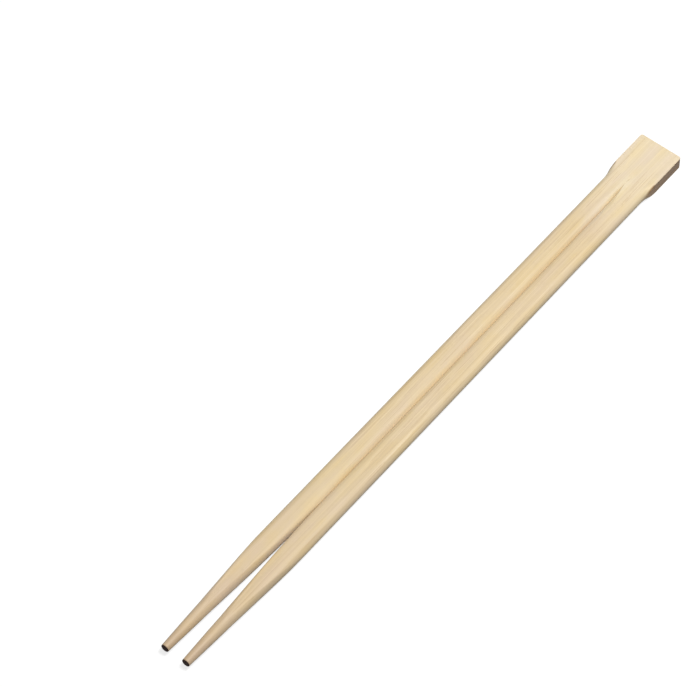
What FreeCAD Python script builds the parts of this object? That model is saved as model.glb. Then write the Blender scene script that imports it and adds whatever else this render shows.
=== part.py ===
import FreeCAD, Part
import math
import os

# Joined bamboo chopsticks: one slat of bamboo, cut into two sticks that are still one piece at the head.
#
# Millimetres. +X runs from the pointed tips to the head, +Y is across the two sticks, +Z is up.
# The origin is under the middle of the slat, so the underside lies on z = 0 and the ends at plus and minus
# half the length. The sticks mirror each other in the XZ plane, and the top face mirrors the underside.
#
# The piece is made as the real one is: a planed slat, then the cutters that take wood away in turn.

Vector = FreeCAD.Vector

# The slat
overall_length = 230.0
thickness = 4.4
head_width = 14.9
head_corner_radius = 0.8      # the head's two end corners, seen from above
worn_edge_radius = 0.15       # tumbling leaves the head's long edges a little round

# The outer sides, rounded by a hollow-faced cutter on an upright spindle
side_relief = 0.39            # how far each stick's side lies inside the head's
head_length = 20.0            # from the head's end to where the side cutter starts to lift off
side_cutter_radius = 10.0     # at the cutter's smallest diameter

# The groove and the saw slit between the sticks, cut from both faces by a ridged saw on a cross spindle
slit_width = 0.1
inner_edge_radius = 2.1       # the rounding of each stick's edges beside the slit
inner_edge_width = 1.95       # how far that rounding reaches in from the slit
groove_cutter_radius = 30.0   # at the foot of the groove
saw_past_middle = 0.15        # how far each saw cut goes beyond half the thickness
slit_to_head_end = 28.0       # from the head's end to the last full depth of the saw cuts
tip_spring = 0.25             # how far each tip has sprung outwards since the slit was cut

# The points, turned about each stick's own axis
tip_radius = 1.33
tip_edge_break = 0.2
cone_length = 31.0            # the straight cone from the tip
cone_end_radius = 2.83
blend_length = 24.0           # the curve that follows the cone
run_out_slope = 0.0227        # radius gained per length where the cutter leaves the stick

margin = 1.0                  # how far a cutter's drawn shape reaches past the wood

# Worked out from the sizes above
tip_end = -overall_length / 2
head_end = overall_length / 2
mid_height = thickness / 2
outer_side = head_width / 2 - side_relief
slit_side = slit_width / 2
side_cut_end = head_end - head_length
saw_end = head_end - slit_to_head_end
groove_depth = inner_edge_radius - math.sqrt(inner_edge_radius ** 2 - inner_edge_width ** 2)
spring_slope = tip_spring / (saw_end - tip_end)


def sprung(y, x):
    """Where a lengthwise line of the +Y stick, at y beside the slit's end, has sprung to at x."""
    return y + spring_slope * (saw_end - x)


def polyline(*points):
    return [Part.LineSegment(a, b).toShape() for a, b in zip(points, points[1:])]


def face_inside(edges):
    return Part.Face(Part.Wire(Part.sortEdges(edges)[0]))


def on_other_stick(cutter):
    return cutter.mirror(Vector(0, 0, 0), Vector(0, 1, 0))


def on_other_face(cutter):
    return cutter.mirror(Vector(0, 0, mid_height), Vector(0, 0, 1))


def slat():
    """The planed slat, left long at the tips, with the head's corners and edges worn round."""
    corner = Vector(tip_end - margin, -head_width / 2, 0)
    wood = Part.makeBox(head_end - corner.x, head_width, thickness, corner)
    corners = [e for e in wood.Edges if e.BoundBox.XMin > side_cut_end and e.BoundBox.YLength < margin]
    wood = wood.makeFillet(head_corner_radius, corners)
    rims = [e for e in wood.Edges if e.BoundBox.ZLength < margin and e.BoundBox.XMax > side_cut_end]
    return wood.makeFillet(worn_edge_radius, rims)


def side_cutter():
    """What rounds the +Y stick's outer side: a straight pass from the tips, then a lift-off at the head."""
    flat_y = outer_side - mid_height
    reach = head_width / 2 + margin
    rounding = Part.Arc(Vector(side_cut_end, flat_y, 0), Vector(side_cut_end, outer_side, mid_height),
                        Vector(side_cut_end, flat_y, thickness)).toShape()
    rest = polyline(Vector(side_cut_end, flat_y, thickness), Vector(side_cut_end, flat_y, thickness + margin),
                    Vector(side_cut_end, reach, thickness + margin), Vector(side_cut_end, reach, -margin),
                    Vector(side_cut_end, flat_y, -margin), Vector(side_cut_end, flat_y, 0))
    section = face_inside([rounding] + rest)
    straight_pass = section.extrude(Vector(tip_end - 2 * margin - side_cut_end, 0, 0))
    spindle = Vector(side_cut_end, outer_side + side_cutter_radius, 0)
    lift_off = section.revolve(spindle, Vector(0, 0, 1), 90)
    cutter = straight_pass.fuse(lift_off)
    cutter.rotate(Vector(saw_end, 0, 0), Vector(0, 0, 1), -math.degrees(math.atan(spring_slope)))
    return cutter


def groove_section(x):
    """The ridged saw's section at x: its ridge rounds both inner edges, and its blade opens the slit."""
    wall_y = sprung(slit_side, x)
    flat_y = wall_y + inner_edge_width
    half_fall = inner_edge_radius - math.sqrt(inner_edge_radius ** 2 - (inner_edge_width / 2) ** 2)
    edges = []
    for side in (1, -1):
        shoulder = Vector(x, side * flat_y, thickness)
        middle = Vector(x, side * (flat_y + wall_y) / 2, thickness - half_fall)
        foot = Vector(x, side * wall_y, thickness - groove_depth)
        floor = Vector(x, side * wall_y, mid_height - saw_past_middle)
        centre = Vector(x, 0, floor.z)
        above = Vector(x, side * flat_y, thickness + margin)
        centre_above = Vector(x, 0, above.z)
        edges.append(Part.Arc(shoulder, middle, foot).toShape())
        edges += polyline(foot, floor, centre) + polyline(centre_above, above, shoulder)
    return face_inside(edges)


def groove_cutter():
    """What opens the top groove and half of the slit: a pass from the tips, then a lift-off at the head."""
    at_head = groove_section(saw_end)
    at_tips = groove_section(tip_end - 2 * margin)
    long_pass = Part.makeLoft([at_tips.OuterWire, at_head.OuterWire], True, True)
    spindle = Vector(saw_end, 0, thickness - groove_depth + groove_cutter_radius)
    lift_off = at_head.revolve(spindle, Vector(0, -1, 0), 45)
    return long_pass.fuse(lift_off)


def pointing_cutter():
    """What turns the +Y stick to a point: everything outside the cone, its curved blend and the run-out."""
    cone_slope = (cone_end_radius - tip_radius) / cone_length
    slope_change = run_out_slope - cone_slope
    blend_end_radius = cone_end_radius + blend_length * (cone_slope + slope_change / 2)
    blend_middle_radius = cone_end_radius + blend_length / 2 * (cone_slope + slope_change / 4)
    stick_corner = math.hypot((outer_side - slit_side) / 2, mid_height)
    clear_radius = max(stick_corner, blend_end_radius) + margin
    clear_length = cone_length + blend_length + (clear_radius - blend_end_radius) / run_out_slope
    axis_y = sprung((outer_side + slit_side) / 2, tip_end)
    break_inset = tip_edge_break * (1 - math.sqrt(0.5))

    def profile_point(length, radius):
        """A point of the turned profile, by its length from the tip and its radius."""
        return Vector(tip_end + length, axis_y + radius, mid_height)

    centre = profile_point(0, 0)
    face_rim = profile_point(0, tip_radius - tip_edge_break)
    side_rim = profile_point(tip_edge_break, tip_radius)
    cone_end = profile_point(cone_length, cone_end_radius)
    blend_end = profile_point(cone_length + blend_length, blend_end_radius)
    clear_rim = profile_point(clear_length, clear_radius)
    clear_centre = profile_point(clear_length, 0)
    blend_middle = profile_point(cone_length + blend_length / 2, blend_middle_radius)
    worn_rim = Part.Arc(face_rim, profile_point(break_inset, tip_radius - break_inset), side_rim).toShape()
    blend = Part.Arc(cone_end, blend_middle, blend_end).toShape()
    lines = polyline(side_rim, cone_end) + polyline(blend_end, clear_rim, clear_centre, centre, face_rim)
    turned = face_inside([worn_rim, blend] + lines).revolve(centre, Vector(1, 0, 0), 360)
    swept = Part.makeBox(clear_length, outer_side + 2 * margin, thickness + 2 * margin,
                         Vector(tip_end - 2 * margin, 0, -margin))
    return swept.cut(turned)


def joined_chopsticks():
    side, groove, point = side_cutter(), groove_cutter(), pointing_cutter()
    wood = slat()
    for cutter in (side, on_other_stick(side), groove, on_other_face(groove), point, on_other_stick(point)):
        wood = wood.cut(cutter)
    return wood.removeSplitter()


def main():
    os.makedirs("parts", exist_ok=True)
    wood = joined_chopsticks()
    assert wood.isValid() and len(wood.Solids) == 1, "the cuts must leave one sound piece"
    wood.Solids[0].exportStep("parts/joined_chopsticks.step")
    print("joined_chopsticks: %.1f mm3, %d faces" % (wood.Volume, len(wood.Faces)))


main()
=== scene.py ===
import logging
import math
from dataclasses import dataclass
from enum import Enum
from functools import reduce

import bmesh
import bpy
import numpy as np
from bpy.types import ID, Material, Mesh, Node, NodeOutputs, NodeTree, Object
from bpy.types import NodeSocket as Socket
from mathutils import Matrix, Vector

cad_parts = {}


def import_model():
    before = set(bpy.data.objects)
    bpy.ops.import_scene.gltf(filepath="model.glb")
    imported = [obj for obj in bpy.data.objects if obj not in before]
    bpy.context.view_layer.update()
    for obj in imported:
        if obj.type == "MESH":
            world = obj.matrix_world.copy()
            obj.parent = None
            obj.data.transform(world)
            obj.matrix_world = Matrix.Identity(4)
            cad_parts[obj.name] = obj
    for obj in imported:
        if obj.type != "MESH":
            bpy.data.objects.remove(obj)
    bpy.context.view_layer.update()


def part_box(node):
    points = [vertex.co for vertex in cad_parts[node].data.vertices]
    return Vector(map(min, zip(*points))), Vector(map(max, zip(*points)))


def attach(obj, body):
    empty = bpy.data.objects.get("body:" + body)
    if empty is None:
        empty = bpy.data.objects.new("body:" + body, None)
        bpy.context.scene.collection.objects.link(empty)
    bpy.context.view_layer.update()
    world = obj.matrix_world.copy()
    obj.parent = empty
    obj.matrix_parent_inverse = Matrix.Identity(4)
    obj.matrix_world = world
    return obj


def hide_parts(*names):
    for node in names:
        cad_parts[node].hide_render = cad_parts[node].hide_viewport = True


log = logging.getLogger("joined_chopsticks")

MM = 0.001
TOUCHING = 1e-6
WOOD_NODE = "joined_chopsticks"
ROOT = "root"

Array = np.ndarray
Colour = tuple[float, float, float]
Stops = tuple[tuple[float, Colour], ...]
PLAIN: Colour = (1.0, 1.0, 1.0)

# How every noise is moved along x, y and z, and how rough it is
OFFSET_SHARES = (1.0, 1.7, 0.6)
NOISE_ROUGHNESS = 0.55

# How strongly points crowd at an end
CROWD_POWER = 1.8
ONE_SHARE = 0.6
BOTH_SHARE = 0.75


class Stick(Enum):
    """The two sticks, by the side of the slat that each is on."""

    FAR = 1
    NEAR = -1


class Face(Enum):
    """The two flat faces of the slat, by the way they look."""

    TOP = 1
    UNDER = -1


class Crowd(Enum):
    """The end of a run of points where they lie closer together."""

    LOW = "low"
    HIGH = "high"
    BOTH = "both"


def fade(value: Array | float, start: float, length: float) -> Array | float:
    """Rises from 0 at start to 1 over a length, which may run the other way."""
    return np.clip((value - start) / length, 0.0, 1.0)


def eased(share: float) -> float:
    """The share, with a smooth start and end."""
    return share * share * (3 - 2 * share)


def lengths(line: Array) -> Array:
    """The length along an outline at each of its points."""
    return np.concatenate([[0.0], np.cumsum(np.hypot(*np.diff(line, axis=0).T))])


def crowded(low: float, high: float, count: int, crowd: Crowd) -> Array:
    """Lays points from low to high, closer together at one end or at both.

    Args:
        low: The first point.
        high: The last point.
        count: The number of steps between them.
        crowd: The end where they lie closer together.

    Returns:
        The points.
    """
    even = np.linspace(0.0, 1.0, count + 1)
    bent = {Crowd.LOW: even ** CROWD_POWER, Crowd.HIGH: 1 - (1 - even) ** CROWD_POWER,
            Crowd.BOTH: (1 - np.cos(np.pi * even)) / 2}[crowd]
    share = BOTH_SHARE if crowd is Crowd.BOTH else ONE_SHARE
    return low + (high - low) * (share * bent + (1 - share) * even)


def placed(name: str, data: ID) -> Object:
    """Puts data into the scene as a new object.

    Args:
        name: The object's name.
        data: Its mesh, lamp or camera.

    Returns:
        The object, at the origin.
    """
    thing = bpy.data.objects.new(name, data)
    bpy.context.scene.collection.objects.link(thing)
    return thing


# Finishes


class Bench:
    """A node tree, with short ways to add nodes and to feed them."""

    def __init__(self, tree: NodeTree) -> None:
        """Takes an existing tree."""
        self.tree = tree

    def add(self, kind: str, feeds: dict[object, object] | None = None, **settings: object) -> Node:
        """Adds a node and feeds its inputs.

        Args:
            kind: The node's type name.
            feeds: Input names or places, and what each gets, a socket or a value.
            **settings: Values for the node's own properties.

        Returns:
            The new node.
        """
        node = self.tree.nodes.new(kind)
        for key, value in settings.items():
            setattr(node, key, value)
        for key, value in (feeds or {}).items():
            if isinstance(value, Socket):
                self.tree.links.new(value, node.inputs[key])
            else:
                node.inputs[key].default_value = value
        return node

    def math(self, operation: str, *values: object) -> Socket:
        """Adds a Math node and returns its result."""
        return self.add("ShaderNodeMath", dict(enumerate(values)), operation=operation).outputs[0]

    def product(self, *values: object) -> Socket:
        """Multiplies two or more values, each a number or a socket."""
        return reduce(lambda first, second: self.math("MULTIPLY", first, second), values)


class NodeBench(Bench):
    """A shader tree, with short ways to work on colours and values."""

    def __init__(self, tree: NodeTree) -> None:
        """Takes an existing tree and empties it."""
        super().__init__(tree)
        tree.nodes.clear()

    def place(self) -> Socket:
        """Adds the object coordinates."""
        return self.add("ShaderNodeTexCoord").outputs["Object"]

    def mark(self, name: str) -> Socket:
        """Adds the value of one of the mesh's own marks."""
        return self.add("ShaderNodeAttribute", attribute_name=name).outputs["Fac"]

    def surface(self, shader: Node) -> None:
        """Ends the tree with a shader as the surface."""
        self.add("ShaderNodeOutputMaterial", {"Surface": shader.outputs[0]})

    def mix(self, amount: object, first: object, second: object, blend: str = "MIX") -> Socket:
        """Adds a colour Mix node.

        Args:
            amount: How much of the second, a number or a socket.
            first: The first colour or its socket.
            second: The second colour or its socket.
            blend: The way they are blended.

        Returns:
            The mixed colour's socket.
        """
        whole = [(*value, 1.0) if isinstance(value, tuple) else value for value in (first, second)]
        feeds = {0: amount, 6: whole[0], 7: whole[1]}
        return self.add("ShaderNodeMix", feeds, data_type="RGBA", blend_type=blend).outputs[2]

    def ramp(self, source: Socket, *stops: tuple[float, Colour]) -> Socket:
        """Adds a colour ramp.

        Args:
            source: What drives the ramp, from 0 to 1.
            *stops: The ramp's positions and colours.

        Returns:
            The colour's socket.
        """
        node = self.add("ShaderNodeValToRGB", {0: source})
        elements = node.color_ramp.elements
        while len(elements) < len(stops):
            elements.new(0.5)
        for element, (position, colour) in zip(elements, stops):
            element.position = position
            element.color = (*colour, 1.0)
        return node.outputs[0]

    def span(self, source: Socket, low: float, high: float, to_low: float = 0.0,
             to_high: float = 1.0) -> Socket:
        """Adds a clamped Map Range node.

        Args:
            source: The value to map.
            low: The value that gives to_low.
            high: The value that gives to_high.
            to_low: The result at low.
            to_high: The result at high.

        Returns:
            The result's socket.
        """
        return self.add("ShaderNodeMapRange", {0: source, 1: low, 2: high, 3: to_low, 4: to_high}).outputs[0]


def bare_material(name: str) -> tuple[Material, NodeBench]:
    """Makes a material with an empty tree.

    Args:
        name: The material's name.

    Returns:
        The material, and a bench over its tree.
    """
    material = bpy.data.materials.new(name)
    material.use_nodes = True
    return material, NodeBench(material.node_tree)


@dataclass(frozen=True)
class GrainLayer:
    """A noise drawn out along the grain, and the tones that it brings.

    Along and across are cells in a metre. The offset moves the pattern, so that two layers differ.
    """

    along: float
    across: float
    detail: float
    offset: float
    stops: Stops

    def noise(self, bench: NodeBench, place: Socket) -> Socket:
        """Adds the layer's noise.

        Args:
            bench: The tree to build in.
            place: The object coordinates.

        Returns:
            The noise's value, about 0.5 in the middle.
        """
        moved = tuple(self.offset * share for share in OFFSET_SHARES)
        mapping = bench.add("ShaderNodeMapping", {
            "Vector": place, "Scale": (self.along, self.across, self.across), "Location": moved})
        return bench.add("ShaderNodeTexNoise", {
            "Vector": mapping.outputs[0], "Scale": 1.0, "Detail": self.detail,
            "Roughness": NOISE_ROUGHNESS}).outputs["Fac"]

    def tint(self, bench: NodeBench, noise: Socket, colour: Socket) -> Socket:
        """Lays the layer's tones over a colour."""
        return bench.mix(1.0, colour, bench.ramp(noise, *self.stops), "MULTIPLY")


@dataclass(frozen=True)
class PlanedBamboo:
    """Bare planed bamboo: pale straw, with fine fibres along the sticks and browner ends. The head's side
    faces are darker, partly their own colour and partly painted shade; the tips' end faces are near black,
    partly painted shade; the slit's walls carry painted light.
    """

    name: str = "planed_bamboo"
    tip_x: float = -0.115
    head_x: float = 0.115
    tones: Stops = (
        (0.00, (0.640, 0.475, 0.305)), (0.10, (0.735, 0.570, 0.362)), (0.30, (0.745, 0.590, 0.364)),
        (0.82, (0.745, 0.590, 0.364)), (0.93, (0.800, 0.667, 0.458)))
    patches: GrainLayer = GrainLayer(70.0, 260.0, 3.0, 0.0, (
        (0.34, (0.985, 0.985, 1.06)), (0.50, PLAIN), (0.66, (1.02, 1.00, 0.91))))
    bands: GrainLayer = GrainLayer(11.0, 620.0, 2.0, 3.1, (
        (0.30, (0.96, 0.95, 0.93)), (0.50, PLAIN), (0.72, (1.03, 1.03, 1.03))))
    streaks: GrainLayer = GrainLayer(16.0, 2300.0, 2.0, 7.3, (
        (0.28, (0.940, 0.925, 0.900)), (0.52, PLAIN), (0.75, (1.025, 1.025, 1.02))))
    fine: GrainLayer = GrainLayer(60.0, 8200.0, 2.0, 12.9, (
        (0.25, (0.945, 0.935, 0.920)), (0.50, PLAIN), (0.80, (1.03, 1.03, 1.03))))
    dashes: GrainLayer = GrainLayer(34.0, 3300.0, 1.0, 21.7, (
        (0.66, PLAIN), (0.78, (0.890, 0.846, 0.780))))
    # The head's side faces: a dark brown that is partly their own colour and partly painted shade
    edge: GrainLayer = GrainLayer(90.0, 1500.0, 2.0, 9.4, (
        (0.36, (0.28, 0.19, 0.12)), (0.56, (0.45, 0.315, 0.19))))
    pores: GrainLayer = GrainLayer(2600.0, 2600.0, 3.0, 5.5, (
        (0.35, (0.62, 0.55, 0.50)), (0.60, (1.12, 1.12, 1.12))))
    end_change: float = 0.02
    # The tips' end faces: dark end grain, made near black by painted shade
    tip_end_grain_and_painted_shade: Colour = (0.050, 0.024, 0.019)
    head_end_tone: Colour = (0.50, 0.36, 0.215)
    # Painted light: lightens and cools the walls of the slit, the fork and the saw's run-out, which lie in
    # shade
    slit_painted_light_tone: Colour = (1.06, 1.13, 1.28)
    streak_span: tuple[float, float] = (0.3, 0.7)
    smoothest: float = 0.49
    roughest: float = 0.65
    sheen: float = 0.06
    refraction: float = 1.45
    gloss: float = 0.5
    end_gloss: float = 0.06
    grain_height: float = 0.00004
    grain_strength: float = 0.55
    streak_share: float = 0.6

    def material(self) -> Material:
        """Makes the material.

        Returns:
            The new material.
        """
        material, bench = bare_material(self.name)
        place, end = bench.place(), bench.mark("end")
        along = bench.add("ShaderNodeSeparateXYZ", {0: place}).outputs["X"]

        colour = bench.ramp(bench.span(along, self.tip_x, self.head_x), *self.tones)
        layers = (self.patches, self.bands, self.streaks, self.fine, self.dashes)
        noises = [layer.noise(bench, place) for layer in layers]
        for layer, noise in zip(layers, noises):
            colour = layer.tint(bench, noise, colour)
        # Painted shade on the head's side faces, over some of their own browner colour
        worn_rim_and_shaded_side = self.edge.tint(bench, self.edge.noise(bench, place), colour)
        colour = bench.mix(bench.mark("side"), colour, worn_rim_and_shaded_side)
        # Painted light on the walls of the slit, at the fork and at the saw's run-out
        colour = bench.mix(bench.mark("slit_painted_light_mask"), colour, bench.mix(1.0, colour, self.slit_painted_light_tone, "MULTIPLY"))
        # End faces: near black at the tips, partly painted shade, and light brown at the head
        change = bench.span(along, -self.end_change, self.end_change)
        ground = bench.mix(change, self.tip_end_grain_and_painted_shade, self.head_end_tone)
        colour = bench.mix(end, colour, self.pores.tint(bench, self.pores.noise(bench, place), ground))

        streaks, fine = noises[2:4]
        height = bench.math("ADD", bench.product(streaks, self.streak_share),
                            bench.product(fine, 1 - self.streak_share))
        bump = bench.add("ShaderNodeBump", {"Height": height, "Strength": self.grain_strength,
                                            "Distance": self.grain_height})
        bench.surface(bench.add("ShaderNodeBsdfPrincipled", {
            "Base Color": colour, "Normal": bump.outputs[0], "IOR": self.refraction,
            "Roughness": bench.span(streaks, *self.streak_span, self.smoothest, self.roughest),
            "Sheen Weight": bench.span(end, 0.0, 1.0, self.sheen, 0.0),
            "Specular IOR Level": bench.span(end, 0.0, 1.0, self.gloss, self.end_gloss)}))
        return material


@dataclass(frozen=True)
class TwoTone:
    """A finish that changes between two tones from place to place."""

    name: str
    change: GrainLayer
    roughness: float
    gloss: float

    def material(self) -> Material:
        """Makes the material.

        Returns:
            The new material.
        """
        material, bench = bare_material(self.name)
        tones = bench.ramp(self.change.noise(bench, bench.place()), *self.change.stops)
        bench.surface(bench.add("ShaderNodeBsdfPrincipled", {
            "Base Color": tones, "Roughness": self.roughness, "Specular IOR Level": self.gloss}))
        return material


# A fibre that stands a hair above the planed face
LOOSE_FIBRE = TwoTone("loose_fibre", GrainLayer(14.0, 1500.0, 1.0, 2.2, (
    (0.40, (0.62, 0.46, 0.27)), (0.56, (0.815, 0.660, 0.430)))), roughness=0.5, gloss=0.5)

# The dark end of a fibre bundle, seen where the bamboo is cut across
BUNDLE_END = TwoTone("bundle_end", GrainLayer(900.0, 900.0, 1.0, 4.4, (
    (0.38, (0.060, 0.032, 0.020)), (0.62, (0.130, 0.078, 0.045)))), roughness=0.8, gloss=0.06)


# The shapes that the cutters leave, in millimetres


@dataclass(frozen=True)
class Slat:
    """The planed slat that both sticks are cut from."""

    tip_end: float
    head_end: float
    thickness: float
    half_width: float
    corner_radius: float = 0.8
    worn_radius: float = 0.15

    @property
    def middle(self) -> float:
        """Half the thickness."""
        return self.thickness / 2

    def rounded_off(self, x: float, radius: float) -> float:
        """How much a rounding of that radius at the head's end has taken away at x."""
        back = max(x - (self.head_end - radius), 0.0)
        return radius - math.sqrt(max(radius ** 2 - back ** 2, 0.0))

    def end_inset(self, x: float) -> float:
        """How far the head's worn rim lies inside its faces at x."""
        return self.rounded_off(x, self.worn_radius)

    def half_width_at(self, x: float) -> float:
        """Half the head's width at x, with its two round end corners."""
        return self.half_width - self.rounded_off(x, self.corner_radius) - self.end_inset(x)


@dataclass(frozen=True)
class OuterSide:
    """A stick's rounded outer side, and where its cutter lifts off at the head."""

    slat: Slat
    relief: float = 0.39
    lift_off_x: float = 95.0
    cutter_radius: float = 10.0
    points: int = 160

    @property
    def side(self) -> float:
        """The outer side's y."""
        return self.slat.half_width - self.relief

    def outline(self, x: float, spread: float) -> Array:
        """The outer side's upper half at x, from the top face down to half height.

        Args:
            x: The station.
            spread: How far the stick has sprung outwards there.

        Returns:
            The points, as y and z.
        """
        angle = np.linspace(math.pi / 2, 0.0, self.points)
        radius = self.slat.middle
        y = self.side + spread - radius + radius * np.cos(angle)
        z = radius + radius * np.sin(angle)
        past = x - self.lift_off_x
        if past <= 0:
            return np.column_stack([y, z])
        spindle = self.side + self.cutter_radius
        y = spindle - np.sqrt(np.maximum((spindle - y) ** 2 - past ** 2, 0.0))
        wall = self.slat.half_width_at(x)
        hollow = y < wall
        points = np.column_stack([np.minimum(y, wall), z])
        if hollow.any() and not hollow.all():
            edge = int(np.argmin(hollow))
            pair = slice(edge - 1, edge + 1)
            points = np.insert(points, edge, [wall, float(np.interp(wall, y[pair], z[pair]))], axis=0)
        return points


@dataclass(frozen=True)
class Groove:
    """The rounded groove and the saw slit between the sticks."""

    slat: Slat
    slit_width: float = 0.1
    edge_radius: float = 2.1
    edge_width: float = 1.95
    cutter_radius: float = 30.0
    past_middle: float = 0.15
    saw_x: float = 87.0
    spring: float = 0.25
    shut_x: float = -54.0
    shut_length: float = 16.0
    shut_share: float = 0.06
    lean_x: float = 97.6
    lean_length: float = 3.0
    lean: float = 1.2
    least_run: float = 0.02
    points: int = 90

    @property
    def depth(self) -> float:
        """How far the lips of the slit lie below the face."""
        return self.edge_radius - math.sqrt(self.edge_radius ** 2 - self.edge_width ** 2)

    @property
    def spindle_z(self) -> float:
        """The height of the saw's spindle over the top face's side."""
        return self.slat.thickness - self.depth + self.cutter_radius

    @property
    def blade_radius(self) -> float:
        """The radius of the saw's blade."""
        return self.spindle_z - (self.slat.middle - self.past_middle)

    @property
    def slit_end_x(self) -> float:
        """Where the cuts from the two faces stop meeting."""
        return self.saw_x + math.sqrt(self.blade_radius ** 2 - (self.spindle_z - self.slat.middle) ** 2)

    def spread(self, x: float) -> float:
        """How far a stick has sprung outwards at x."""
        return self.spring * max(self.saw_x - x, 0.0) / (self.saw_x - self.slat.tip_end)

    def wall_y(self, x: float) -> float:
        """The slit's wall at x: open at the points, and nearly shut again nearer the head."""
        open_share = self.shut_share + (1 - self.shut_share) * eased(fade(x, self.shut_x, -self.shut_length))
        return self.slit_width / 2 * self.shut_share + self.spread(x) * open_share

    def lifted(self, z: Array, x: float) -> Array:
        """The height that a point of the saw's section has come to at x.

        Args:
            z: The heights at full depth.
            x: The station.

        Returns:
            The heights at x, none above the top face.
        """
        past = max(x - self.saw_x, 0.0)
        reach = np.maximum((self.spindle_z - z) ** 2 - past ** 2, 0.0)
        return np.minimum(self.spindle_z - np.sqrt(reach), self.slat.thickness)

    def outline(self, x: float) -> tuple[Array, Array]:
        """The slit's wall and the rounded edge over it at x, from half height or the saw cut's floor up.

        Args:
            x: The station.

        Returns:
            The wall's points and the rounded edge's points, as y and z.
        """
        wall_y = self.wall_y(x)
        lip = self.slat.thickness - self.depth
        floor = self.slat.middle - self.past_middle
        foot = float(self.lifted(np.array([floor]), x)[0]) if x > self.slit_end_x else self.slat.middle
        lip_z = float(self.lifted(np.array([lip]), x)[0])
        wall = np.column_stack([np.full(self.points, wall_y),
                                np.linspace(min(foot, lip_z), lip_z, self.points)])
        # Once the saw has nearly left the wood, its low walls lean back, so that no face has no width
        rise = np.linspace(0.0, 1.0, self.points)
        wall[:, 0] += rise * fade(x, self.lean_x, self.lean_length) * self.lean
        across = np.linspace(0.0, self.edge_width, self.points)
        height = self.slat.thickness - self.edge_radius + np.sqrt(
            np.maximum(self.edge_radius ** 2 - (self.edge_width - across) ** 2, 0.0))
        y = np.maximum(wall_y + across, wall[-1, 0] + across * self.least_run)
        return wall, np.column_stack([y, self.lifted(height, x)])


@dataclass(frozen=True)
class TurnedPoint:
    """A stick's turned point."""

    tip_end: float
    axis_y: float
    axis_z: float
    tip_radius: float = 1.33
    edge_break: float = 0.2
    cone_length: float = 31.0
    cone_radius: float = 2.83
    blend_length: float = 24.0
    run_out_slope: float = 0.0227
    rubbed: float = 0.12

    def radius(self, x: float) -> float:
        """The turned radius: a worn rim, a cone, a curved blend, then a shallow run-out.

        Args:
            x: The station.

        Returns:
            The radius at x.
        """
        length = x - self.tip_end
        if length < self.edge_break:
            inner = self.edge_break ** 2 - (self.edge_break - length) ** 2
            return self.tip_radius - self.edge_break + math.sqrt(max(inner, 0.0))
        slope = (self.cone_radius - self.tip_radius) / self.cone_length
        if length < self.cone_length:
            return self.tip_radius + slope * length
        past = length - self.cone_length
        bend = self.run_out_slope - slope
        if past < self.blend_length:
            return self.cone_radius + slope * past + bend * past ** 2 / (2 * self.blend_length)
        end = self.cone_radius + self.blend_length * (slope + bend / 2)
        return end + (past - self.blend_length) * self.run_out_slope

    def turn(self, points: Array, x: float) -> tuple[Array, Array]:
        """Takes away what lies outside the turned profile.

        Args:
            points: An outline at x, as y and z.
            x: The station.

        Returns:
            The turned outline, and how far each point lay outside the profile.
        """
        axis = np.array([self.axis_y, self.axis_z])
        arm = points - axis
        reach = np.hypot(arm[:, 0], arm[:, 1])
        radius = self.radius(x)
        share = fade(reach - radius, -self.rubbed, 2 * self.rubbed)
        kept = reach * (1 - share) + radius * share - self.rubbed * share * (1 - share)
        return arm * (kept / np.maximum(reach, 1e-9))[:, None] + axis, reach - radius


@dataclass(frozen=True)
class Ramp:
    """Where a mark starts, and the length over which it grows, which may run the other way."""

    start: float
    length: float

    def at(self, value: Array) -> Array:
        """How strong the mark is, from 0 to 1, where a measure has this value."""
        return fade(value, self.start, self.length)


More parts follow.
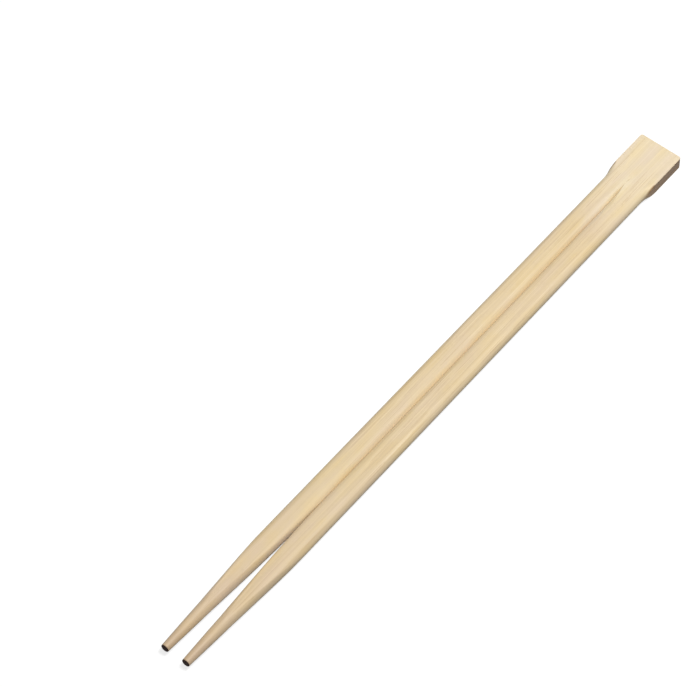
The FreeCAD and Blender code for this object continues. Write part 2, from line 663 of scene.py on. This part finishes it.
@dataclass(frozen=True)
class WoodMarks:
    """Marks on the skin for the finish: the ends, which take painted shade at the tips, the head's side
    faces, which take painted shade, and the depths of the slit, which take painted light.

    A name with near measures from the slit's plane, low from half the thickness, and wall from the side face.
    """

    slat: Slat
    tip_face: Ramp = Ramp(0.24, -0.10)
    head_face: Ramp = Ramp(-0.06, 0.05)
    corner: Ramp = Ramp(-0.6, 0.4)
    corner_wall: Ramp = Ramp(-0.2, 0.1)
    corner_share: float = 0.8
    off_faces: Ramp = Ramp(-0.03, -0.08)
    side_wall: Ramp = Ramp(-0.55, 0.4)
    side_grows: Ramp = Ramp(93.0, 6.0)
    slit_near: Ramp = Ramp(1.0, -0.8)
    slit_low: Ramp = Ramp(1.5, -1.5)
    slit_fades: Ramp = Ramp(99.0, -3.0)
    slit_from: float = -70.0
    fork_near: Ramp = Ramp(2.6, -1.4)
    fork_low: Ramp = Ramp(1.76, -1.1)
    fork_grows: Ramp = Ramp(-108.0, 20.0)
    fork_fades: Ramp = Ramp(-52.0, -8.0)
    fork_share: float = 0.8
    saw_near: Ramp = Ramp(1.87, -1.1)
    saw_grows: Ramp = Ramp(68.0, 15.0)
    saw_fades: Ramp = Ramp(101.0, -4.0)
    saw_share: float = 0.55

    def put_on(self, mesh: Mesh) -> None:
        """Works out the marks and keeps them on the mesh.

        Args:
            mesh: The closed skin.
        """
        place = np.empty(len(mesh.vertices) * 3)
        mesh.vertices.foreach_get("co", place)
        x, y, z = place.reshape(-1, 3).T / MM
        off_middle, off_slit = np.abs(z - self.slat.middle), np.abs(y)
        wall = off_slit - np.array([self.slat.half_width_at(float(v)) for v in x])
        below = self.off_faces.at(off_middle - self.slat.middle)
        from_head = x - self.slat.head_end

        corner = self.corner.at(from_head) * self.corner_wall.at(wall) * below
        end = np.maximum(self.tip_face.at(x - self.slat.tip_end), self.head_face.at(from_head))
        # The head's side faces, which take painted shade
        side = self.side_wall.at(wall) * below * self.side_grows.at(x)
        # Where the painted light goes: the slit's walls, the fork's inner sides and the saw's run-out
        slit = self.slit_low.at(off_middle) * self.slit_near.at(off_slit) * self.slit_fades.at(x)
        fork = self.fork_low.at(off_middle) * self.fork_near.at(off_slit)
        fork *= self.fork_grows.at(x) * self.fork_fades.at(x)
        saw = self.saw_grows.at(x) * self.saw_fades.at(x) * self.saw_near.at(off_slit)
        end = np.maximum(end, self.corner_share * corner)
        slit_painted_light_mask = np.maximum(slit * (x > self.slit_from), self.fork_share * fork)
        slit_painted_light_mask = np.maximum(slit_painted_light_mask, self.saw_share * saw)
        for name, value in (("end", end), ("side", side), ("slit_painted_light_mask", slit_painted_light_mask)):
            layer = mesh.attributes.new(name, "FLOAT", "POINT")
            layer.data.foreach_set("value", value.astype(np.float32))


@dataclass
class JoinedSticks:
    """The pair in one piece: each station's outline, the skin over them, and the ends."""

    slat: Slat
    # How many points there are up to the inner arris, over the face and down the side
    inner_points: int = 14
    face_points: int = 44
    side_points: int = 14
    flat_points: int = 80
    # The least lengths that are left between the arrises
    least_face: float = 0.05
    least_inner: float = 0.02
    least_side: float = 0.6
    # Where the points are turned, and how often arrises are rubbed down there and elsewhere
    turned_from: float = -40.0
    rubbed_from: float = -45.0
    point_rubs: int = 13
    body_rubs: int = 2
    ridge_from: float = 40.0
    # The turned point keeps a strip between its arrises, which widens towards the tip
    crest_half: float = 3.0
    crest_growth: float = 27.0
    crest_x: float = -97.0
    crest_length: float = 8.0
    lip_hold: float = 0.98
    # The slight unevenness of the planed faces
    seed: int = 11
    relief: float = 0.022
    waves: int = 9
    wave_pitch: tuple[float, float, float] = (0.09, 2.4, 1.2)
    wave_height: float = 5.0
    least_depth: float = 0.65
    side_from: float = 5.2
    side_length: float = 1.5
    tip_rings: tuple[float, ...] = (0.88, 0.76, 0.64, 0.52, 0.40, 0.28)
    head_rings: tuple[float, ...] = (0.99,)
    finish: PlanedBamboo = PlanedBamboo()

    def __post_init__(self) -> None:
        """Works out the cutters from the slat."""
        self.groove = Groove(self.slat)
        self.outer = OuterSide(self.slat)
        axis_y = (self.outer.side + self.groove.slit_width / 2) / 2 + self.groove.spring
        self.point = TurnedPoint(self.slat.tip_end, axis_y, self.slat.middle)

    def stations(self) -> Array:
        """The places along the pair where an outline is taken.

        Returns:
            Their x, from the tips to the head.
        """
        tip, head, split = self.slat.tip_end, self.slat.head_end, self.groove.slit_end_x
        runs = (
            (tip + 0.5, -98.0, 16),    # the cone, up to where its crest starts
            (-97.6, -60.22, 90),       # the cone and its blend
            (-59.6, -44.0, 20),        # the turned run-out
            (-41.5, 83.0, 48),         # the long even part
            (84.0, 87.0, 4),           # before the saw lifts off
            (87.3, split, 9),          # up to the slit's end
            (split + 0.25, 95.0, 18),  # the groove as it grows shallow
            (95.25, 103.0, 30),        # where the side cutter lifts off
            (103.6, 114.0, 10))        # the plain head
        rim = self.point.edge_break * np.array([0.0, 0.08, 0.3, 0.6, 1.0])
        far, near = self.slat.corner_radius, self.slat.worn_radius
        corner = far + (near - far) * np.arange(0.0, 1.0, 0.2)
        worn_rim_and_shaded_side = near * np.array([1.0, 0.75, 0.5, 0.28, 0.12, 0.03, 0.0])
        return np.concatenate([tip + rim, *(np.linspace(*run) for run in runs), head - corner, head - worn_rim_and_shaded_side])

    def outline(self, x: float) -> Array:
        """The far stick's upper half at x, from the slit round to the outer side's half height.

        Args:
            x: The station.

        Returns:
            The points, as y and z, always as many.
        """
        spread = self.groove.spread(x)
        wall, edge = self.groove.outline(x)
        side = self.outer.outline(x, spread)
        start = max(float(edge[-1, 0]), float(wall[-1, 0]) + self.least_face)
        flat_y = np.linspace(start, float(side[0, 0]), self.flat_points)[1:-1]
        flat = np.column_stack([flat_y, np.full(len(flat_y), self.slat.thickness)])
        line = np.vstack([wall, edge[1:], flat, side])
        inset = self.slat.end_inset(x)
        if inset > 0:
            line[:, 1] = np.minimum(line[:, 1], self.slat.thickness - inset)
        lip = len(wall) - 1
        first, last = self._breaks(line, lip, x)
        if x < self.turned_from:
            line, outside = self.point.turn(line, x)
            first, last = self._turned_breaks(line, outside, lip, x)
        return self._resample(line, first, last, self.point_rubs if x < self.rubbed_from else self.body_rubs)

    def _breaks(self, line: Array, lip: int, x: float) -> tuple[float, float]:
        """Where the outline has its two arrises, as lengths along it.

        Args:
            line: The outline.
            lip: The index of the slit's lip.
            x: The station.

        Returns:
            The lengths to the inner and to the outer arris.
        """
        s = lengths(line)
        risen = np.nonzero(line[lip:, 1] >= self.slat.thickness - self.slat.end_inset(x) - TOUCHING)[0]
        share = eased(fade(x, self.ridge_from, self.groove.saw_x - self.ridge_from))
        first = max(s[lip] * (1 - share) + s[lip + int(risen[0])] * share, self.least_inner)
        last = s[-1] - self.least_side
        if x > self.outer.lift_off_x:
            on_wall = np.nonzero(line[:, 0] >= self.slat.half_width_at(x) - TOUCHING)[0]
            if len(on_wall):
                last = min(last, s[int(on_wall[0])])
        return first, last

    def _turned_breaks(self, line: Array, outside: Array, lip: int,
                       x: float) -> tuple[float, float]:
        """Where the turned surface meets what it has left of the outline, as lengths along it.

        Args:
            line: The turned outline.
            outside: How far each point lay outside the turned profile.
            lip: The index of the slit's lip.
            x: The station.

        Returns:
            The lengths to the inner and to the outer arris.
        """
        s = lengths(line)
        crossings = np.nonzero(outside[:-1] * outside[1:] < 0)[0]
        places = [s[i] + (s[i + 1] - s[i]) * outside[i] / (outside[i] - outside[i + 1]) for i in crossings]
        rising = [p for i, p in zip(crossings, places) if outside[i] > 0]
        falling = [p for i, p in zip(crossings, places) if outside[i] < 0]
        angle = np.arctan2(line[:, 1] - self.point.axis_z, line[:, 0] - self.point.axis_y)
        half = math.radians(self.crest_half + self.crest_growth * fade(x, self.crest_x, -self.crest_length))
        inner_limit = float(np.interp(-(math.pi / 2 + half), -angle, s))
        outer_limit = float(np.interp(-(math.pi / 2 - half), -angle, s))
        first = max(s[lip] * self.lip_hold, rising[-1]) if rising else s[lip]
        last = falling[-1] if falling and falling[-1] > first else s[-1]
        if not (outside < 0).any():
            return inner_limit, outer_limit
        return min(first, inner_limit), max(min(last, s[-1] - self.least_side), outer_limit)

    def _resample(self, line: Array, first: float, last: float, rubs: int) -> Array:
        """Lays an even number of points along an outline, closer together beside its arrises.

        Args:
            line: The outline.
            first: The length to the inner arris.
            last: The length to the outer arris.
            rubs: How often the arrises are rubbed down.

        Returns:
            The points, as y and z.
        """
        s = lengths(line)
        at = np.concatenate([crowded(0.0, first, self.inner_points, Crowd.HIGH)[:-1],
                             crowded(first, last, self.face_points, Crowd.BOTH)[:-1],
                             crowded(last, s[-1], self.side_points, Crowd.LOW)])
        points = np.column_stack([np.interp(at, s, line[:, 0]), np.interp(at, s, line[:, 1])])
        for _ in range(rubs):
            points[1:-1] = points[1:-1] * 0.5 + (points[:-2] + points[2:]) * 0.25
        return points

    def build(self) -> Object:
        """Builds the whole piece and dresses it.

        Returns:
            The piece, a closed mesh.
        """
        stations = self.stations()
        outlines = np.array([self.outline(float(x)) for x in stations])
        verts, index = self._vertices(stations, outlines)
        faces = self._faces(stations, index)
        mesh = bpy.data.meshes.new("chopstick_pair")
        mesh.from_pydata((verts * MM).tolist(), [], faces)
        self._close_ends(mesh, index)
        mesh.update()
        WoodMarks(self.slat).put_on(mesh)
        piece = placed("chopstick_pair", mesh)
        mesh.materials.append(self.finish.material())
        mesh.polygons.foreach_set("use_smooth", [True] * len(mesh.polygons))
        return piece

    def _vertices(self, stations: Array, outlines: Array) -> tuple[Array, Array]:
        """Places every vertex of the skin.

        Args:
            stations: The stations' x.
            outlines: The upper outline at each station.

        Returns:
            The vertices, and their numbers by station, stick, face and place along the outline.
        """
        count = outlines.shape[1]
        index = np.zeros((len(stations), 2, 2, count), dtype=int)
        verts: list[tuple[float, float, float]] = []
        middle, thickness = self.slat.middle, self.slat.thickness
        for i, x in enumerate(stations):
            joined = x > self.groove.slit_end_x + TOUCHING
            for j, stick in enumerate((Stick.FAR, Stick.NEAR)):
                for f, face in enumerate((Face.TOP, Face.UNDER)):
                    for k in range(count):
                        shared = k == count - 1 or (k == 0 and not joined)
                        if face is Face.UNDER and shared:
                            index[i, j, f, k] = index[i, j, 0, k]
                            continue
                        y, z = outlines[i, k]
                        z = z if face is Face.TOP else thickness - z
                        index[i, j, f, k] = len(verts)
                        verts.append((float(x), float(y) * stick.value, float(middle if shared else z)))
        return self._roughened(np.array(verts)), index

    def _roughened(self, verts: Array) -> Array:
        """Gives the planed faces their slight unevenness, always into the wood.

        Args:
            verts: The vertices.

        Returns:
            The moved vertices.
        """
        x, y, z = verts.T
        rng = np.random.default_rng(self.seed)
        wave = np.zeros(len(verts))
        for _ in range(self.waves):
            kx, ky, kz = (rng.normal(0, pitch) for pitch in self.wave_pitch)
            wave += np.sin(kx * x + ky * y + kz * z + rng.uniform(0, 6.28))
        swing = np.clip(wave / self.wave_height, -1, 1)
        depth = self.relief * (self.least_depth + (1 - self.least_depth) * swing)
        top = np.clip((z - self.slat.middle) / self.slat.middle, -1, 1)
        moved = verts.copy()
        moved[:, 0] = np.clip(x, self.slat.tip_end + self.relief / 2, self.slat.head_end - self.relief / 2)
        moved[:, 1] -= np.sign(y) * depth * fade(np.abs(y), self.side_from, self.side_length)
        moved[:, 2] -= depth * top ** 3
        return moved

    def _faces(self, stations: Array, index: Array) -> list[list[int]]:
        """Joins the stations' outlines into the skin.

        Args:
            stations: The stations' x.
            index: The vertices' numbers.

        Returns:
            The faces.
        """
        faces: list[list[int]] = []
        for i in range(len(stations) - 1):
            for j in (0, 1):
                for f in (0, 1):
                    here, there = index[i, j, f], index[i + 1, j, f]
                    quads = np.column_stack([here[:-1], there[:-1], there[1:], here[1:]])
                    faces += (quads if j == f else quads[:, ::-1]).tolist()
            if stations[i + 1] > self.groove.slit_end_x + TOUCHING:
                for f in (0, 1):
                    quad = index[[i, i + 1, i + 1, i], [1, 1, 0, 0], f, 0]
                    faces.append((quad if f == 0 else quad[::-1]).tolist())
        return faces

    def _close_ends(self, mesh: Mesh, index: Array) -> None:
        """Closes the two tips and the head's end, and makes every face look outwards.

        Args:
            mesh: The skin, open at its ends.
            index: The vertices' numbers.
        """
        built = bmesh.new()
        built.from_mesh(mesh)
        corners = list(built.verts)
        tips = [list(index[0, j, 0]) + list(index[0, j, 1][1:-1][::-1]) for j in (0, 1)]
        top = list(index[-1, 0, 0][::-1]) + list(index[-1, 1, 0])
        under = list(index[-1, 1, 1][:-1][::-1]) + list(index[-1, 0, 1][:-1])
        for ring in tips:
            self._cap(built, [corners[v] for v in ring], self.tip_rings)
        self._cap(built, [corners[v] for v in top + under], self.head_rings)
        bmesh.ops.recalc_face_normals(built, faces=built.faces)
        built.to_mesh(mesh)
        built.free()

    def _cap(self, built: bmesh.types.BMesh, ring: list[bmesh.types.BMVert],
             scales: tuple[float, ...]) -> None:
        """Closes a ring with smaller rings and a face.

        Args:
            built: The mesh.
            ring: The ring's vertices in order.
            scales: The size of each smaller ring.
        """
        centre = sum((v.co for v in ring), Vector()) / len(ring)
        outer = ring
        for scale in scales:
            inner = [built.verts.new(centre + (v.co - centre) * scale) for v in ring]
            for a in range(len(ring)):
                b = (a + 1) % len(ring)
                built.faces.new((outer[a], outer[b], inner[b], inner[a]))
            outer = inner
        built.faces.new(outer)


# What repeats over the surface


class Scatter(Bench):
    """A Geometry Nodes tree that strews a shape over a piece."""

    def __init__(self, name: str) -> None:
        """Makes an empty tree.

        Args:
            name: The tree's name.
        """
        super().__init__(bpy.data.node_groups.new(name, "GeometryNodeTree"))
        for way in ("INPUT", "OUTPUT"):
            self.tree.interface.new_socket("Geometry", in_out=way, socket_type="NodeSocketGeometry")
        self.entry = self.add("NodeGroupInput")
        self.sizes: list[tuple[str, float]] = []

    def size(self, name: str, value: float, kind: str = "NodeSocketFloat") -> Socket:
        """Adds a named input.

        Args:
            name: The input's name.
            value: The value that the piece sets.
            kind: The socket's type.

        Returns:
            The input's socket inside the tree.
        """
        item = self.tree.interface.new_socket(name, in_out="INPUT", socket_type=kind)
        self.sizes.append((item.identifier, value))
        return self.entry.outputs[name]

    def parts(self, kind: str) -> NodeOutputs:
        """Adds a node that gives a vector of the surface, and splits it into its parts."""
        return self.add("ShaderNodeSeparateXYZ", {0: self.add(kind).outputs[0]}).outputs

    def uneven(self, least: float, most: float, seed: int) -> Socket:
        """Adds a number that differs from point to point."""
        feeds = {2: least, 3: most, "Seed": seed}
        return self.add("FunctionNodeRandomValue", feeds, data_type="FLOAT").outputs[1]

    def stand(self, points: Node, shape: Socket, size: Socket, pivot: str) -> Socket:
        """Stands a shape on each point, square to the surface.

        Args:
            points: The node that lays the points.
            shape: The shape's geometry.
            size: The shape's scale.
            pivot: The shape's axis that it turns about, or AUTO.

        Returns:
            The geometry of all the shapes.
        """
        upright = self.add("FunctionNodeAlignRotationToVector", {"Vector": points.outputs["Normal"]},
                           axis="Z", pivot_axis=pivot)
        return self.add("GeometryNodeInstanceOnPoints",
                        {"Points": points.outputs["Points"], "Instance": shape,
                         "Rotation": upright.outputs[0], "Scale": size}).outputs[0]

    def bake(self, carrier: Object, name: str, result: Socket, material: Material) -> Object:
        """Ends the tree, runs it over the carrier's mesh and keeps the result as a plain mesh.

        Args:
            carrier: The piece whose surface is followed.
            name: The new piece's name.
            result: The geometry that the tree makes.
            material: The new piece's material.

        Returns:
            The new piece.
        """
        whole = self.add("GeometryNodeRealizeInstances", {"Geometry": result})
        dressed = self.add("GeometryNodeSetMaterial", {"Geometry": whole.outputs[0], "Material": material})
        self.add("NodeGroupOutput", {0: dressed.outputs[0]})
        stand_in = placed(name + "_carrier", carrier.data)
        modifier = stand_in.modifiers.new("scatter", "NODES")
        modifier.node_group = self.tree
        for identifier, value in self.sizes:
            modifier[identifier] = value
        graph = bpy.context.evaluated_depsgraph_get()
        mesh = bpy.data.meshes.new_from_object(stand_in.evaluated_get(graph), depsgraph=graph)
        mesh.name = name
        bpy.data.objects.remove(stand_in)
        return placed(name, mesh)


@dataclass
class SurfaceFibres:
    """Fine fibres that the planing left standing, each lying along the grain."""

    count_density: float = 0.20
    length: float = 13.0
    width: float = 0.13
    height: float = 0.010
    seed: int = 5
    size_seed: int = 3
    shortest: float = 0.35
    longest: float = 1.5
    slope_limit: float = 0.02
    facing_limit: float = 0.35
    slit_gap: float = 0.9
    flat_from: float = 2.3
    flat_to: float = 4.6
    curves_from: float = 76.0
    points_end: float = -36.0
    head_gap: float = 10.0
    finish: TwoTone = LOOSE_FIBRE

    def build(self, carrier: Object, slat: Slat) -> Object:
        """Scatters the fibres over the flat faces and the rounded sides.

        Args:
            carrier: The pair's skin.
            slat: The slat, for its sizes.

        Returns:
            The fibres, as one mesh.
        """
        tree = Scatter("surface_fibres")
        density = tree.size("Fibres per square mm", self.count_density)
        length = tree.size("Length mm", self.length)
        width = tree.size("Width mm", self.width)
        height = tree.size("Height mm", self.height)
        seed = tree.size("Seed", self.seed, "NodeSocketInt")
        normal, place = tree.parts("GeometryNodeInputNormal"), tree.parts("GeometryNodeInputPosition")
        off_slit, along = tree.math("ABSOLUTE", place["Y"]), place["X"]
        flat = tree.product(tree.math("GREATER_THAN", off_slit, self.flat_from * MM),
                            tree.math("LESS_THAN", off_slit, self.flat_to * MM))
        chosen = tree.product(
            tree.math("LESS_THAN", tree.math("ABSOLUTE", normal["X"]), self.slope_limit),
            tree.math("GREATER_THAN", tree.math("ABSOLUTE", normal["Z"]), self.facing_limit),
            tree.math("GREATER_THAN", off_slit, self.slit_gap * MM),
            tree.math("MAXIMUM", flat, tree.math("LESS_THAN", along, self.curves_from * MM)),
            tree.math("GREATER_THAN", along, self.points_end * MM),
            tree.math("LESS_THAN", along, (slat.head_end - self.head_gap) * MM))
        points = tree.add("GeometryNodeDistributePointsOnFaces",
                          {"Mesh": tree.entry.outputs[0], "Selection": chosen,
                           "Density": tree.product(density, 1.0 / MM ** 2), "Seed": seed})
        strand = tree.add("GeometryNodeMeshUVSphere", {"Segments": 6, "Rings": 8, "Radius": 0.5})
        lying = tree.add("GeometryNodeTransform", {0: strand.outputs[0], "Rotation": (0.0, math.pi / 2, 0.0)})
        spread = tree.uneven(self.shortest, self.longest, self.size_seed)
        size = tree.add("ShaderNodeCombineXYZ", {"X": tree.product(length, spread, MM),
                                                 "Y": tree.product(width, MM), "Z": tree.product(height, MM)})
        fibres = tree.stand(points, lying.outputs[0], size.outputs[0], "X")
        return tree.bake(carrier, "surface_fibres", fibres, self.finish.material())


@dataclass
class BundleEnds:
    """The dark ends of the fibre bundles on the head's end face and on the tips."""

    count_density: float = 2.6
    radius: float = 0.13
    height: float = 0.008
    seed: int = 9
    least_apart: float = 0.3
    size_seed: int = 4
    smallest: float = 0.45
    squareness: float = 0.9995
    flattened: float = 1.3
    finish: TwoTone = BUNDLE_END

    def build(self, carrier: Object) -> Object:
        """Scatters the bundle ends over the faces cut across the grain.

        Args:
            carrier: The pair's skin.

        Returns:
            The bundle ends, as one mesh.
        """
        tree = Scatter("bundle_ends")
        density = tree.size("Ends per square mm", self.count_density)
        radius = tree.size("Radius mm", self.radius)
        height = tree.size("Height mm", self.height)
        seed = tree.size("Seed", self.seed, "NodeSocketInt")
        across_grain = tree.math("ABSOLUTE", tree.parts("GeometryNodeInputNormal")["X"])
        points = tree.add("GeometryNodeDistributePointsOnFaces",
                          {"Mesh": tree.entry.outputs[0], "Seed": seed,
                           "Selection": tree.math("GREATER_THAN", across_grain, self.squareness),
                           "Distance Min": self.least_apart * MM,
                           "Density Max": tree.product(density, 1.0 / MM ** 2)}, distribute_method="POISSON")
        dot = tree.add("GeometryNodeMeshCylinder", {"Vertices": 8, "Radius": 1.0, "Depth": 1.0})
        spread = tree.uneven(self.smallest, 1.0, self.size_seed)
        across = tree.product(radius, spread, MM)
        size = tree.add("ShaderNodeCombineXYZ", {"X": across, "Y": tree.product(across, self.flattened),
                                                 "Z": tree.product(height, MM)})
        dots = tree.stand(points, dot.outputs[0], size.outputs[0], "AUTO")
        return tree.bake(carrier, "bundle_ends", dots, self.finish.material())


# The studio


@dataclass
class Studio:
    """The pale floor, the soft light and the camera."""

    aim: tuple[float, float, float] = (-0.00087, 0.03124, 0.0)
    azimuth: float = -51.3015
    elevation: float = 54.486
    distance: float = 1.18
    sensor: float = 36.0
    lens: float = 4000.0 / 687.0 * 36.0
    floor_size: float = 6.0
    floor_shade: float = 0.30
    floor_glow: float = 0.78
    floor_bounce: float = 0.14
    glow_from: float = 0.2
    glow_to: float = 0.9
    key_place: tuple[float, float, float] = (0.17, -0.17, 0.78)
    key_size: float = 0.30
    key_watts: float = 6.35
    world_light: float = 0.17

    def build(self) -> None:
        """Builds the floor, the world, the light and the camera."""
        self._floor()
        self._world()
        self._key()
        self._camera()

    def _floor(self) -> None:
        """A wide floor, white to the eye, that still takes the object's shadow."""
        half = self.floor_size / 2
        mesh = bpy.data.meshes.new("floor")
        corners = [(-half, -half, 0), (half, -half, 0), (half, half, 0), (-half, half, 0)]
        mesh.from_pydata(corners, [], [(0, 1, 2, 3)])
        material, bench = bare_material("pale_floor")
        path = bench.add("ShaderNodeLightPath").outputs
        seen = bench.math("MAXIMUM", path["Is Camera Ray"], path["Is Glossy Ray"])
        seen = bench.math("MAXIMUM", seen, path["Is Transmission Ray"])
        away = bench.add("ShaderNodeVectorMath", {0: bench.place()}, operation="LENGTH").outputs["Value"]
        strength = bench.span(away, self.glow_from, self.glow_to, self.floor_glow, 1.0)
        glow = bench.add("ShaderNodeEmission", {"Strength": strength})
        shade, plain = (bench.add("ShaderNodeBsdfDiffuse", {"Color": (tone, tone, tone, 1.0)})
                        for tone in (self.floor_shade, self.floor_bounce))
        white = bench.add("ShaderNodeAddShader", {0: shade.outputs[0], 1: glow.outputs[0]})
        bench.surface(bench.add("ShaderNodeMixShader", {0: seen, 1: plain.outputs[0], 2: white.outputs[0]}))
        mesh.materials.append(material)
        placed("floor", mesh)

    def _world(self) -> None:
        """Even soft light from all round, white where the camera sees it."""
        world = bpy.data.worlds.new("studio")
        bpy.context.scene.world = world
        world.use_nodes = True
        bench = NodeBench(world.node_tree)
        path = bench.add("ShaderNodeLightPath").outputs
        soft, white = (bench.add("ShaderNodeBackground", {"Color": (*PLAIN, 1.0), "Strength": strength})
                       for strength in (self.world_light, 1.0))
        either = bench.add("ShaderNodeMixShader", {0: path["Is Camera Ray"], 1: soft.outputs[0],
                                                   2: white.outputs[0]})
        bench.add("ShaderNodeOutputWorld", {"Surface": either.outputs[0]})

    def _key(self) -> None:
        """A soft square lamp high over the head's end."""
        data = bpy.data.lights.new("key", "AREA")
        data.size = self.key_size
        data.energy = self.key_watts
        lamp = placed("key", data)
        lamp.location = self.key_place
        lamp.rotation_euler = Vector(self.key_place).to_track_quat("Z", "Y").to_euler()

    def _camera(self) -> None:
        """The camera, at the photograph's angle and framing."""
        data = bpy.data.cameras.new("camera")
        data.lens = self.lens
        data.sensor_width = self.sensor
        data.clip_start = 0.01
        data.clip_end = 50.0
        camera = placed("camera", data)
        turn, lift = math.radians(self.azimuth), math.radians(self.elevation)
        back = Vector((math.sin(turn) * math.cos(lift), -math.cos(turn) * math.cos(lift), math.sin(lift)))
        camera.location = Vector(self.aim) + back * self.distance
        camera.rotation_euler = back.to_track_quat("Z", "Y").to_euler()
        bpy.context.scene.camera = camera
        bpy.context.scene.view_settings.view_transform = "Standard"


def keep(piece: Object, *nodes: str) -> None:
    """Puts a finished piece on the part's body and reports it.

    Args:
        piece: The piece.
        *nodes: The solids that it stands for.
    """
    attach(piece, ROOT)
    if nodes:
        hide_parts(*nodes)
    log.info("%s: %d faces", piece.name, len(piece.data.polygons))


def main() -> None:
    """Builds the pair, its fibres and the studio, in that order."""
    logging.basicConfig(level=logging.INFO, format="%(message)s")
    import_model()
    low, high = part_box(WOOD_NODE)
    slat = Slat(tip_end=low[0] / MM, head_end=high[0] / MM, thickness=high[2] / MM, half_width=high[1] / MM)
    pair = JoinedSticks(slat).build()
    fibres = SurfaceFibres().build(pair, slat)
    ends = BundleEnds().build(pair)
    keep(pair, WOOD_NODE)
    keep(fibres)
    keep(ends)
    Studio().build()


if __name__ == "__main__":
    main()
